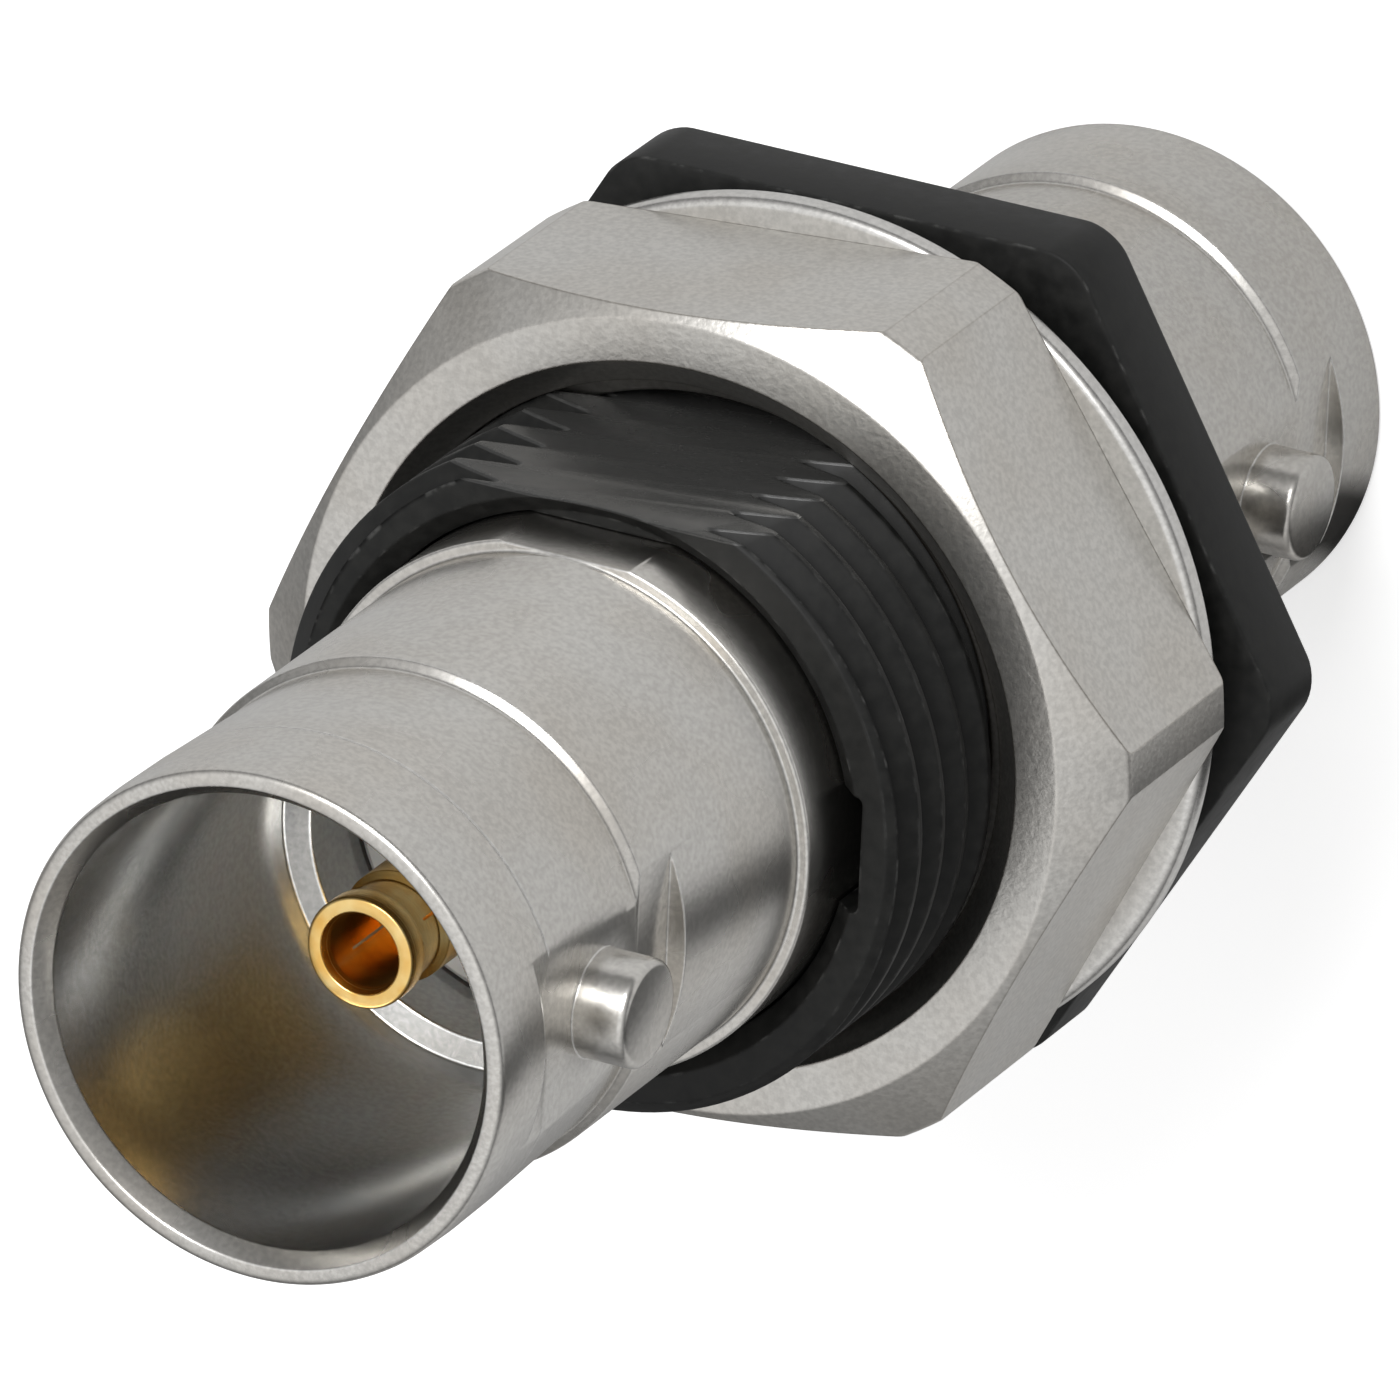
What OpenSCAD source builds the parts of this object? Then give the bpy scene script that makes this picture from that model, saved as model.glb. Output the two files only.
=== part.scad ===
// Insulated bulkhead coupler with a bayonet socket at each end, held in a panel by a nut.
// Frame: +Z runs along the axis to the front mouth, and Z = 0 is the flange face that
// meets the panel. +X points along the bayonet lugs, +Y is square to the sleeve's flat.

/* [Metal body] */
// Length of each barrel, from its rim to its mouth
barrel_len = 11.1; // [10:0.1:14]
// Wall at the mouth, between the socket's bore and the land behind the mouth
mouth_wall = 0.55; // [0.45:0.01:0.7]
// Length of that land
land_len = 2.2; // [1.5:0.1:2.8]
// How far the necked part of each barrel lies inside the land
neck_drop = 0.12; // [0.05:0.01:0.2]
// How far the thicker part of each barrel stands outside the land
step_rise = 0.06; // [0.02:0.01:0.2]
// Axial length of the steep step between the two
step_len = 0.12; // [0.06:0.01:0.3]
// Distance of the front barrel's step from its mouth
front_step_at = 5.6; // [5.4:0.1:7]
// Distance of the rear barrel's step from its mouth
rear_step_at = 2.91; // [2.5:0.01:3.1]
// How far the rim, and the shank inside the housing, stand outside the thicker part
rim_rise = 0.22; // [0.1:0.01:0.4]
// Rounding bevel on the rim's two outer edges
rim_bevel = 0.05; // [0.02:0.01:0.08]
// Bevel round the outside of each mouth
mouth_bevel = 0.12; // [0.05:0.01:0.2]
// Depth of the flat that stops the shank turning in the housing
key_depth = 0.21; // [0.1:0.01:0.3]

/* [Sockets] */
// Diameter of the socket's bore where it leaves the mouth bevel
socket_d = 8.5; // [8.3:0.02:8.6]
// Diameter of the bore at the shoulder, at the end of its slight taper
socket_seat_d = 8.12; // [7.9:0.02:8.2]
// Depth of the shoulder below the mouth
socket_depth = 8.5; // [7.5:0.1:9]
// Width of the bevel between the bore and the mouth face
bore_bevel = 0.25; // [0.1:0.05:0.35]
// Axial length of that bevel
bore_bevel_len = 0.35; // [0.2:0.05:0.6]
// Diameter of the inner bore that holds the insulators
inner_bore_d = 7; // [6.4:0.1:7.4]
// Thickness of the web in the middle, against which both insulators seat
web_t = 2; // [1.6:0.1:3]
// Diameter of the hole through the web
web_hole_d = 4.8; // [4.4:0.1:5.6]

/* [Bayonet lugs] */
// Diameter of a lug
lug_d = 2; // [1.8:0.05:2.2]
// How far a lug stands out of the land behind the mouth
lug_stand = 0.7; // [0.5:0.05:0.9]
// Distance of a lug's centre from its mouth
lug_at = 4.2; // [4:0.1:5]
// Bevel round a lug's end
lug_bevel = 0.12; // [0.05:0.01:0.3]
// Wall left between the flat pad that a lug stands on and the mouth of the bore
pad_wall = 0.23; // [0.15:0.01:0.35]
// Axial length of a pad
pad_len = 5.2; // [4.4:0.1:6]

/* [Insulating housing] */
// Width across the flats of the hexagonal flange
flange_af = 15.8; // [15:0.1:18]
// Thickness of the flange
flange_t = 1.75; // [1.4:0.05:3]
// Radius on the flange's six corners
flange_corner_r = 1; // [0.5:0.1:2]
// Length of the threaded sleeve above the flange
sleeve_len = 9.6; // [8:0.1:14]
// How far the front rim stands out of the sleeve
rim_stand = 1.1; // [0.5:0.1:2]
// How far the rear rim stands out of the flange
rear_rim_stand = 0.15; // [0.1:0.05:0.5]
// Wall left between the bore and the flat along the sleeve
flat_wall = 0.27; // [0.2:0.01:0.6]
// Wall left between a lug slot and the root of the thread
slot_wall = 0.22; // [0.15:0.01:0.4]
// Width of the bevel at the front end of the sleeve's bore
sleeve_bevel = 0.37; // [0.1:0.01:0.4]
// Clearance between the metal body and the housing's bore
body_fit = 0.05; // [0.02:0.01:0.1]
// Clearance round a lug in the slots that let it through the bore
slot_fit = 0.13; // [0.05:0.01:0.3]

/* [Thread] */
// Pitch of the thread
pitch = 0.907; // [0.8:0.001:1]
// Depth of the thread
thread_depth = 0.48; // [0.3:0.01:0.5]
// Width of the flat on each crest
crest_w = 0.12; // [0.05:0.01:0.2]
// Plain relief between the flange and the first turn
relief_len = 0.4; // [0.2:0.05:1]

/* [Nut and washer] */
// Width across the nut's flats
nut_af = 15.5; // [15:0.1:17]
// Thickness of the nut
nut_t = 4.55; // [3:0.05:6]
// How far the nut's corners are turned down
nut_corner_cut = 0.23; // [0.05:0.01:0.5]
// How far the edge of the nut's front face lies inside its flats
nut_face_in = 0.15; // [0.05:0.01:0.4]
// How far the corner bevels run down at the corners
nut_bevel_drop = 0.75; // [0.3:0.05:1]
// Turn of the nut at rest, from a corner over a lug
nut_turn = 4.3; // [0:0.1:60]
// Width of the countersink at each end of the nut's bore
nut_sink = 0.48; // [0.2:0.02:0.8]
// Radial clearance between the nut's bore and the thread's crests
nut_fit = 0.05; // [0.02:0.01:0.1]
// Width of the washer's ring
washer_w = 1.93; // [1.6:0.01:2.3]
// Thickness of the washer
washer_t = 0.4; // [0.3:0.05:0.8]
// Width of the rounding bevel on the washer's front edge
washer_bevel = 0.18; // [0.05:0.01:0.25]
// Radial clearance between the washer and the thread's crests
washer_fit = 0.15; // [0.1:0.01:0.3]
// Height of the washer above the flange, with no panel in between
washer_lift = 1; // [0.5:0.05:4]

/* [Centre contact] */
// Depth of the contact's tip below the mouth
tip_depth = 3.75; // [3.5:0.05:5]
// Diameter of the contact and of the ring at its tip
contact_d = 2.1; // [1.9:0.02:2.3]
// Length of the ring at the tip
tip_ring_len = 0.5; // [0.3:0.05:1]
// Length of the groove behind the ring
groove_len = 0.9; // [0.5:0.05:1.5]
// Diameter at the bottom of the groove
groove_d = 1.84; // [1.7:0.02:2]
// Diameter of the bore that takes the plug's pin
pin_bore_d = 1.4; // [1.3:0.01:1.5]
// Depth of that bore
pin_bore_len = 5.5; // [5:0.1:6.5]
// Width of the countersink at the mouth of the pin bore
pin_sink = 0.07; // [0.03:0.01:0.15]
// Width of the slit that parts the two spring fingers, which are set almost closed
slit_w = 0.08; // [0.06:0.01:0.3]
// Turn of the slit from the lugs
slit_turn = 33; // [0:1:90]
// Length of the slit
slit_len = 4.6; // [4:0.1:5.5]
// Diameter of the collar that the insulators trap
collar_d = 3.2; // [2.8:0.1:3.8]
// Thickness of the collar
collar_t = 1; // [0.6:0.1:1.4]

/* [Insulators] */
// How far each insulator's face lies below the socket's shoulder
insulator_sink = 1.5; // [0.5:0.1:3]
// Clearance of an insulator in the metal body, and of the contact in an insulator
insulator_fit = 0.05; // [0.03:0.01:0.1]
// Bevel round an insulator's face
insulator_bevel = 0.15; // [0.05:0.05:0.4]

/* [Hidden] */
$fn = 96;
// A cut runs this far past the face that it opens
over = 0.5;

// Heights along the axis
front_rim_z = sleeve_len + rim_stand;
front_z = front_rim_z + barrel_len;
rear_rim_z = -flange_t - rear_rim_stand;
rear_z = rear_rim_z - barrel_len;
mid_z = (front_z + rear_z) / 2;
washer_z = washer_lift;
nut_z = washer_z + washer_t;

// Radii
socket_r = socket_d / 2;
mouth_r = socket_r + mouth_wall;
neck_r = mouth_r - neck_drop;
step_r = mouth_r + step_rise;
rim_r = step_r + rim_rise;
key_flat_at = rim_r - key_depth;
pad_r = socket_r + pad_wall;
lug_end_r = mouth_r + lug_stand;
seat_r = socket_seat_d / 2;
inner_r = inner_bore_d / 2;
contact_r = contact_d / 2;
house_r = rim_r + body_fit;
slot_r = lug_end_r + body_fit;
root_r = slot_r + slot_wall;
crest_r = root_r + thread_depth;
sleeve_flat_at = house_r + flat_wall;
nut_bore_r = crest_r + nut_fit;
washer_bore_r = crest_r + washer_fit;
washer_r = washer_bore_r + washer_w;
// A lug is rooted halfway through the barrel's wall under its pad
lug_root_r = (socket_r + pad_r) / 2;

// Whole turns of thread that fit between the relief and the sleeve's front
turns = floor((sleeve_len - relief_len) / pitch);

// Outline of the metal body, from the rear mouth to the front one
function body_outline() = [
    [0, rear_z],
    [step_r - mouth_bevel, rear_z],
    [step_r, rear_z + mouth_bevel],
    [step_r, rear_z + rear_step_at - step_len / 2],
    [neck_r, rear_z + rear_step_at + step_len / 2],
    [neck_r, rear_rim_z],
    [rim_r - rim_bevel, rear_rim_z],
    [rim_r, rear_rim_z + rim_bevel],
    [rim_r, front_rim_z - rim_bevel],
    [rim_r - rim_bevel, front_rim_z],
    [step_r, front_rim_z],
    [step_r, front_z - front_step_at - step_len / 2],
    [neck_r, front_z - front_step_at + step_len / 2],
    [mouth_r, front_z - land_len],
    [mouth_r, front_z - mouth_bevel],
    [mouth_r - mouth_bevel, front_z],
    [0, front_z]];

// Puts its children at the front end, and a mirrored copy at the rear end
module both_ends() {
    children();
    translate([0, 0, 2 * mid_z]) mirror([0, 0, 1]) children();
}

// Ring-shaped cut that bevels the outside edge at the top of a shaft of radius r
module edge_cut(r, z, w) {
    translate([0, 0, z]) rotate_extrude()
        polygon([[r - w, over], [r - w, 0], [r, -w], [r + over, -w], [r + over, over]]);
}

// Space inside a barrel, cut from the front end
module socket_space() {
    rotate_extrude()
        polygon([[0, mid_z],
                 [web_hole_d / 2, mid_z],
                 [web_hole_d / 2, mid_z + web_t / 2],
                 [inner_r, mid_z + web_t / 2],
                 [inner_r, front_z - socket_depth],
                 [seat_r, front_z - socket_depth],
                 [socket_r, front_z - bore_bevel_len],
                 [socket_r + bore_bevel, front_z],
                 [socket_r + bore_bevel, front_z + over],
                 [0, front_z + over]]);
}

// Flat pads, one on each side, that a pair of lugs stands on
module pad_cut() {
    for (side = [-1, 1])
        translate([side * (pad_r + rim_r / 2), 0, front_z - lug_at])
            cube([rim_r, 2 * rim_r, pad_len], center = true);
}

// A pair of lugs, from inside the barrel's wall to their bevelled ends
module lugs() {
    for (turn = [0, 180])
        rotate([0, 0, turn]) translate([0, 0, front_z - lug_at]) rotate([0, 90, 0])
            rotate_extrude()
                polygon([[0, lug_root_r],
                         [lug_d / 2, lug_root_r],
                         [lug_d / 2, lug_end_r - lug_bevel],
                         [lug_d / 2 - lug_bevel, lug_end_r],
                         [0, lug_end_r]]);
}

// Metal body: both bayonet barrels and the shank through the housing, in one piece
module connector_body() {
    color([0.72, 0.70, 0.67]) {
        difference() {
            rotate_extrude() polygon(body_outline());
            both_ends() socket_space();
            both_ends() pad_cut();
            // Flat along the shank that stops it turning in the housing
            translate([-rim_r, key_flat_at, rear_rim_z - over])
                cube([2 * rim_r, rim_r, front_rim_z - rear_rim_z + 2 * over]);
        }
        both_ends() lugs();
    }
}

// Hexagon across flats af, with its corners on the X axis rounded to radius r
module round_hexagon(af, r) {
    reach = (af / 2 - r) / cos(30);
    polygon([for (k = [0 : 5], side = [-30, 30])
        let (turn = 60 * k)
        [reach * cos(turn) + r * cos(turn + side), reach * sin(turn) + r * sin(turn + side)]]);
    for (k = [0 : 5]) rotate(60 * k) translate([reach, 0]) circle(r = r);
}

// Outline of the threaded sleeve, with each turn as one ridge
function sleeve_outline() = concat(
    [[0, -flange_t / 2], [root_r, -flange_t / 2]],
    [for (k = [0 : turns - 1], p = [[root_r, 0],
                                    [crest_r, (pitch - crest_w) / 2],
                                    [crest_r, (pitch + crest_w) / 2]])
        [p[0], relief_len + k * pitch + p[1]]],
    [[root_r, relief_len + turns * pitch], [root_r, sleeve_len], [0, sleeve_len]]);

// Bore of the housing: round, with a key flat and a slot on each side for the lugs
module housing_bore() {
    bottom = -flange_t - over;
    tall = sleeve_len + flange_t + 2 * over;
    slot_w = lug_d + 2 * slot_fit;
    difference() {
        translate([0, 0, bottom]) cylinder(r = house_r, h = tall);
        translate([-house_r, key_flat_at + body_fit, bottom - over])
            cube([2 * house_r, house_r, tall + 2 * over]);
    }
    translate([-slot_r, -slot_w / 2, bottom]) cube([2 * slot_r, slot_w, tall]);
    // Bevel that leads the body into the bore
    translate([0, 0, sleeve_len - sleeve_bevel])
        cylinder(r1 = house_r, r2 = house_r + sleeve_bevel + over, h = sleeve_bevel + over);
}

// Moulded housing: hexagonal flange and threaded sleeve
module insulating_housing() {
    color([0.10, 0.10, 0.10])
        difference() {
            union() {
                translate([0, 0, -flange_t])
                    linear_extrude(flange_t) round_hexagon(flange_af, flange_corner_r);
                rotate_extrude() polygon(sleeve_outline());
            }
            housing_bore();
            // Flat along the sleeve
            translate([-crest_r - over, sleeve_flat_at, 0])
                cube([2 * (crest_r + over), crest_r, sleeve_len + over]);
        }
}

// Hexagonal nut, its corners turned round and bevelled towards the front
module hex_nut() {
    corner_r = nut_af / 2 / cos(30) - nut_corner_cut;
    face_r = nut_af / 2 - nut_face_in;
    color([0.72, 0.70, 0.67])
        translate([0, 0, nut_z]) rotate([0, 0, nut_turn])
            difference() {
                intersection() {
                    linear_extrude(nut_t) circle(d = nut_af / cos(30), $fn = 6);
                    rotate_extrude()
                        polygon([[0, 0], [corner_r, 0],
                                 [corner_r, nut_t - nut_bevel_drop],
                                 [face_r, nut_t], [0, nut_t]]);
                }
                translate([0, 0, -over]) cylinder(r = nut_bore_r, h = nut_t + 2 * over);
                for (end = [0, 1])
                    translate([0, 0, end * nut_t]) mirror([0, 0, end])
                        translate([0, 0, -over])
                            cylinder(r1 = nut_bore_r + nut_sink + over, r2 = nut_bore_r,
                                     h = nut_sink + over);
            }
}

// Flat washer, its front edge rounded by stamping
module washer() {
    color([0.74, 0.73, 0.71])
        translate([0, 0, washer_z])
            difference() {
                cylinder(r = washer_r, h = washer_t);
                translate([0, 0, -over]) cylinder(r = washer_bore_r, h = washer_t + 2 * over);
                edge_cut(washer_r, washer_t, washer_bevel);
            }
}

// Half of the contact's outline, from its middle to the front tip
function contact_outline() = [
    [0, mid_z],
    [collar_d / 2, mid_z],
    [collar_d / 2, mid_z + collar_t / 2],
    [contact_r, mid_z + collar_t / 2],
    [contact_r, front_z - tip_depth - tip_ring_len - groove_len],
    [groove_d / 2, front_z - tip_depth - tip_ring_len - groove_len + (contact_r - groove_d / 2)],
    [groove_d / 2, front_z - tip_depth - tip_ring_len],
    [contact_r, front_z - tip_depth - tip_ring_len],
    [contact_r, front_z - tip_depth],
    [0, front_z - tip_depth]];

// Centre contact: a turned pin with a slit spring socket at each end
module centre_contact() {
    tip_z = front_z - tip_depth;
    color([0.90, 0.70, 0.32])
        difference() {
            both_ends() rotate_extrude() polygon(contact_outline());
            both_ends() {
                translate([0, 0, tip_z - pin_bore_len])
                    cylinder(d = pin_bore_d, h = pin_bore_len + over);
                translate([0, 0, tip_z - pin_sink])
                    cylinder(r1 = pin_bore_d / 2, r2 = pin_bore_d / 2 + pin_sink + over,
                             h = pin_sink + over);
                rotate([0, 0, slit_turn])
                    translate([-contact_d, -slit_w / 2, tip_z - slit_len])
                        cube([2 * contact_d, slit_w, slit_len + over]);
            }
        }
}

// Bead that seats on the web and holds the contact's collar, at the front end
module insulator() {
    gap = insulator_fit;
    hole_r = contact_r + gap;
    face_z = front_z - socket_depth - insulator_sink;
    head_r = inner_r - gap;
    color([0.93, 0.92, 0.89])
        rotate_extrude()
            polygon([[collar_d / 2 + gap, mid_z + gap],
                     [web_hole_d / 2 - gap, mid_z + gap],
                     [web_hole_d / 2 - gap, mid_z + web_t / 2 + gap],
                     [head_r, mid_z + web_t / 2 + gap],
                     [head_r, face_z - insulator_bevel],
                     [head_r - insulator_bevel, face_z],
                     [hole_r, face_z],
                     [hole_r, mid_z + collar_t / 2 + gap],
                     [collar_d / 2 + gap, mid_z + collar_t / 2 + gap]]);
}

module front_insulator() {
    insulator();
}

module rear_insulator() {
    translate([0, 0, 2 * mid_z]) mirror([0, 0, 1]) insulator();
}

connector_body();
insulating_housing();
hex_nut();
washer();
centre_contact();
front_insulator();
rear_insulator();
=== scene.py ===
import math
import bpy
from mathutils import Matrix, Vector


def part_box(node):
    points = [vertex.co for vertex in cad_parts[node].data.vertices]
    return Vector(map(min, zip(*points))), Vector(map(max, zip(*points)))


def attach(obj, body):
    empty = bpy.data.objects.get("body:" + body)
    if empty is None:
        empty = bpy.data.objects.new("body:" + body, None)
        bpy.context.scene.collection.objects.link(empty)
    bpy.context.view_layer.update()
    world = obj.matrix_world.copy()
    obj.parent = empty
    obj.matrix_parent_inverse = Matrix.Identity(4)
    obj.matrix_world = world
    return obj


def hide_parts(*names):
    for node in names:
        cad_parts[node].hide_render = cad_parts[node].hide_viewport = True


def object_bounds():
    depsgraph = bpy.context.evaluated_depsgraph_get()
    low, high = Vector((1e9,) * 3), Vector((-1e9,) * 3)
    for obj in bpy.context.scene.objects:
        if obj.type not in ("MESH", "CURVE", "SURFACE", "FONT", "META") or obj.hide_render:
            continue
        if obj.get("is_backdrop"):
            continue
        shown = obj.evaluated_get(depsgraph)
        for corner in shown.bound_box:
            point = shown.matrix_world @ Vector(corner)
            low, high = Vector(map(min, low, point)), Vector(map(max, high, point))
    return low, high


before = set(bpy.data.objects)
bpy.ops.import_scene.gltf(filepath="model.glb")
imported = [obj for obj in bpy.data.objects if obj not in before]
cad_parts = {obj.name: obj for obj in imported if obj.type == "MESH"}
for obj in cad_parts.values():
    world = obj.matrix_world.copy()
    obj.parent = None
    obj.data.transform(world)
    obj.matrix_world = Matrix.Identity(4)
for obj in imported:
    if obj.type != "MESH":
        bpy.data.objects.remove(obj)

cad_low, cad_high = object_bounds()


# ---------------------------------------------------------------- camera
# A long lens, nearly half a metre off and well above the front mouth. It is rolled so that the
# axis runs down to the left.
MM = 0.001
view_azimuth = math.radians(44.765)
view_elevation = math.radians(55.166)
view_roll = math.radians(-126.598)
view_distance = 442.009 * MM
view_target = Vector((-1.689, -1.656, 1.623)) * MM
out = Vector((math.cos(view_elevation) * math.cos(view_azimuth),
              math.cos(view_elevation) * math.sin(view_azimuth),
              math.sin(view_elevation)))
camera_data = bpy.data.cameras.new("camera")
camera_data.sensor_width = 36.0
camera_data.lens = 627.4
camera_data.clip_start = 0.02
camera_data.clip_end = 20.0
camera = bpy.data.objects.new("camera", camera_data)
bpy.context.scene.collection.objects.link(camera)
level = (-out).to_track_quat("-Z", "Y").to_matrix()
turned = level @ Matrix.Rotation(view_roll, 3, "Z")
camera.matrix_world = Matrix.LocRotScale(view_target + out * view_distance, turned.to_quaternion(), None)
bpy.context.scene.camera = camera


# ---------------------------------------------------------------- studio
# A white table and a surround that runs from dark low down to white overhead, with one soft
# box over the part. To the camera both are white. What the metal mirrors is the table painted
# grey in bands round the part, painted shade that stands in for the part's shadow and darker
# surroundings, so that polished metal shows soft bands and not one flat grey.
def soft_box(name, direction, distance, size, power, colour=(1.0, 1.0, 1.0)):
    lamp = bpy.data.lights.new(name, "AREA")
    lamp.shape = "RECTANGLE"
    lamp.size, lamp.size_y = size
    lamp.energy = power
    lamp.color = colour
    box = bpy.data.objects.new(name, lamp)
    bpy.context.scene.collection.objects.link(box)
    way = Vector(direction).normalized()
    box.matrix_world = Matrix.LocRotScale(
        way * distance, (-way).to_track_quat("-Z", "Y"), None)
    return box


soft_box("key_light", (0.07, 0.60, 0.80), 0.60, (0.26, 0.26), 2.1)

scene = bpy.context.scene
scene.view_settings.view_transform = "Standard"
world = bpy.data.worlds.new("studio")
scene.world = world
world.use_nodes = True
nodes, links = world.node_tree.nodes, world.node_tree.links
nodes.clear()
world_out = nodes.new("ShaderNodeOutputWorld")
background = nodes.new("ShaderNodeBackground")
coords = nodes.new("ShaderNodeTexCoord")
split = nodes.new("ShaderNodeSeparateXYZ")
ramp = nodes.new("ShaderNodeValToRGB")
white = nodes.new("ShaderNodeBackground")
mix = nodes.new("ShaderNodeMixShader")
path = nodes.new("ShaderNodeLightPath")
for height, level in ((0.50, 0.10), (0.62, 0.26), (0.72, 0.42), (0.85, 0.66), (0.91, 0.92)):
    stop = ramp.color_ramp.elements.new(height)
    stop.color = (level, level, level, 1.0)
ramp.color_ramp.elements[0].color = (0.08, 0.08, 0.08, 1.0)
ramp.color_ramp.elements[-1].color = (0.95, 0.95, 0.95, 1.0)
to_unit = nodes.new("ShaderNodeMapRange")
to_unit.inputs["From Min"].default_value = -1.0
to_unit.inputs["From Max"].default_value = 1.0
links.new(coords.outputs["Generated"], split.inputs["Vector"])
links.new(split.outputs["Z"], to_unit.inputs["Value"])
links.new(to_unit.outputs["Result"], ramp.inputs["Fac"])
links.new(ramp.outputs["Color"], background.inputs["Color"])
links.new(path.outputs["Is Camera Ray"], mix.inputs["Fac"])
links.new(background.outputs["Background"], mix.inputs[1])
links.new(white.outputs["Background"], mix.inputs[2])
links.new(mix.outputs["Shader"], world_out.inputs["Surface"])
white.inputs["Color"].default_value = (1.0, 1.0, 1.0, 1.0)

floor_z = cad_low.z
bpy.ops.object.select_all(action="DESELECT")
bpy.ops.mesh.primitive_plane_add(size=6.0, location=(0.0, 0.0, floor_z))
table_top = bpy.context.active_object
table_top.name = "table_top"
bpy.ops.object.transform_apply(location=True, rotation=True, scale=True)
table_paint = bpy.data.materials.new("white_table")
table_paint.use_nodes = True
nodes, links = table_paint.node_tree.nodes, table_paint.node_tree.links
nodes.clear()
surface = nodes.new("ShaderNodeOutputMaterial")
reflected_paint = nodes.new("ShaderNodeBsdfDiffuse")
coords = nodes.new("ShaderNodeTexCoord")
around = nodes.new("ShaderNodeTexGradient")
around.gradient_type = "RADIAL"
reflected_shade = nodes.new("ShaderNodeValToRGB")
# painted shade: grey levels by azimuth round the part, with a near-black band from -33 to -19 degrees as a
# painted dark reflection; only reflections see them, the camera sees the table white
REFLECTED_SHADE = ((-180, 0.52), (-150, 0.36), (-125, 0.20), (-104, 0.30), (-85, 0.42), (-60, 0.56),
         (-40, 0.62), (-33, 0.05), (-19, 0.05), (-11, 0.60), (60, 0.60), (100, 0.64),
         (130, 0.60), (180, 0.52))
for azimuth, level in REFLECTED_SHADE[1:-1]:
    stop = reflected_shade.color_ramp.elements.new(azimuth / 360 + 0.5)
    stop.color = (level, level, level, 1.0)
for stop, (azimuth, level) in ((reflected_shade.color_ramp.elements[0], REFLECTED_SHADE[0]),
                               (reflected_shade.color_ramp.elements[-1], REFLECTED_SHADE[-1])):
    stop.color = (level, level, level, 1.0)
glow = nodes.new("ShaderNodeEmission")
glow.inputs["Color"].default_value = (1.0, 1.0, 1.0, 1.0)
glow.inputs["Strength"].default_value = 0.50
bright = nodes.new("ShaderNodeBsdfDiffuse")
bright.inputs["Color"].default_value = (0.80, 0.80, 0.80, 1.0)
both = nodes.new("ShaderNodeAddShader")
pick = nodes.new("ShaderNodeMixShader")
path = nodes.new("ShaderNodeLightPath")
links.new(coords.outputs["Object"], around.inputs["Vector"])
links.new(around.outputs["Fac"], reflected_shade.inputs["Fac"])
links.new(reflected_shade.outputs["Color"], reflected_paint.inputs["Color"])
links.new(bright.outputs["BSDF"], both.inputs[0])
links.new(glow.outputs["Emission"], both.inputs[1])
links.new(path.outputs["Is Camera Ray"], pick.inputs["Fac"])
links.new(reflected_paint.outputs["BSDF"], pick.inputs[1])
links.new(both.outputs["Shader"], pick.inputs[2])
links.new(pick.outputs["Shader"], surface.inputs["Surface"])
table_top.data.materials.append(table_paint)
table_top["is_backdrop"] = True


# ---------------------------------------------------------------- metal body
# The body is one turned and plated piece: two bayonet barrels on a plain shank. Its sizes are
# written in millimetres as (radius, height, rounding) round half of a section.
# The lugs and the flat pads that they stand on are added to it and cut from it.
front_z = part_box("connector_body")[1].z / MM
rear_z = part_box("connector_body")[0].z / MM
lug_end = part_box("connector_body")[1].x / MM
middle_z = (front_z + rear_z) / 2


def rounded(corners, arc_steps=4):
    """The outline through (radius, height, rounding) corners, each corner turned into an arc."""
    points = []
    count = len(corners)
    for i, (x, z, r) in enumerate(corners):
        here = Vector((x, z))
        before = Vector(corners[i - 1][:2]) - here
        after = Vector(corners[(i + 1) % count][:2]) - here
        if r == 0.0:
            points.append(here)
            continue
        before.normalize()
        after.normalize()
        half = before.angle(after) / 2
        reach = r / math.tan(half)
        centre = here + (before + after).normalized() * (r / math.sin(half))
        start = here + before * reach - centre
        sweep = start.angle_signed(here + after * reach - centre)
        for k in range(arc_steps + 1):
            points.append(centre + Matrix.Rotation(-sweep * k / arc_steps, 2) @ start)
    return points


def select_only(piece):
    """Selects one piece and makes it the active one."""
    bpy.ops.object.select_all(action="DESELECT")
    piece.select_set(True)
    bpy.context.view_layer.objects.active = piece


def start_mesh(name):
    """A new object in edit mode that holds a single vertex at the origin."""
    bpy.ops.object.select_all(action="DESELECT")
    bpy.ops.mesh.primitive_plane_add(size=1.0)
    piece = bpy.context.active_object
    piece.name = name
    bpy.ops.object.mode_set(mode="EDIT")
    bpy.ops.mesh.select_all(action="SELECT")
    bpy.ops.mesh.merge(type="CENTER")
    return piece


def draw_line(points):
    """Moves the single vertex to the first point and extrudes it along the others."""
    bpy.ops.transform.translate(value=(points[0][0], 0.0, points[0][1]))
    for a, b in zip(points, points[1:]):
        bpy.ops.mesh.extrude_region_move(
            TRANSFORM_OT_translate={"value": (b[0] - a[0], 0.0, b[1] - a[1])})


def turned(name, corners, steps=160, closed=True):
    """A turned solid: the outline is drawn as one line and spun round the Z axis."""
    points = rounded(corners)
    if closed:
        points = points + [points[0]]
    piece = start_mesh(name)
    draw_line(points)
    bpy.ops.mesh.select_all(action="SELECT")
    bpy.ops.mesh.spin(steps=steps, angle=2 * math.pi, center=(0, 0, 0), axis=(0, 0, 1))
    bpy.ops.mesh.select_all(action="SELECT")
    bpy.ops.mesh.remove_doubles(threshold=0.0005)
    bpy.ops.mesh.delete_loose(use_verts=True, use_edges=True, use_faces=False)
    bpy.ops.mesh.select_all(action="SELECT")
    bpy.ops.mesh.normals_make_consistent(inside=False)
    bpy.ops.object.mode_set(mode="OBJECT")
    return piece


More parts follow.
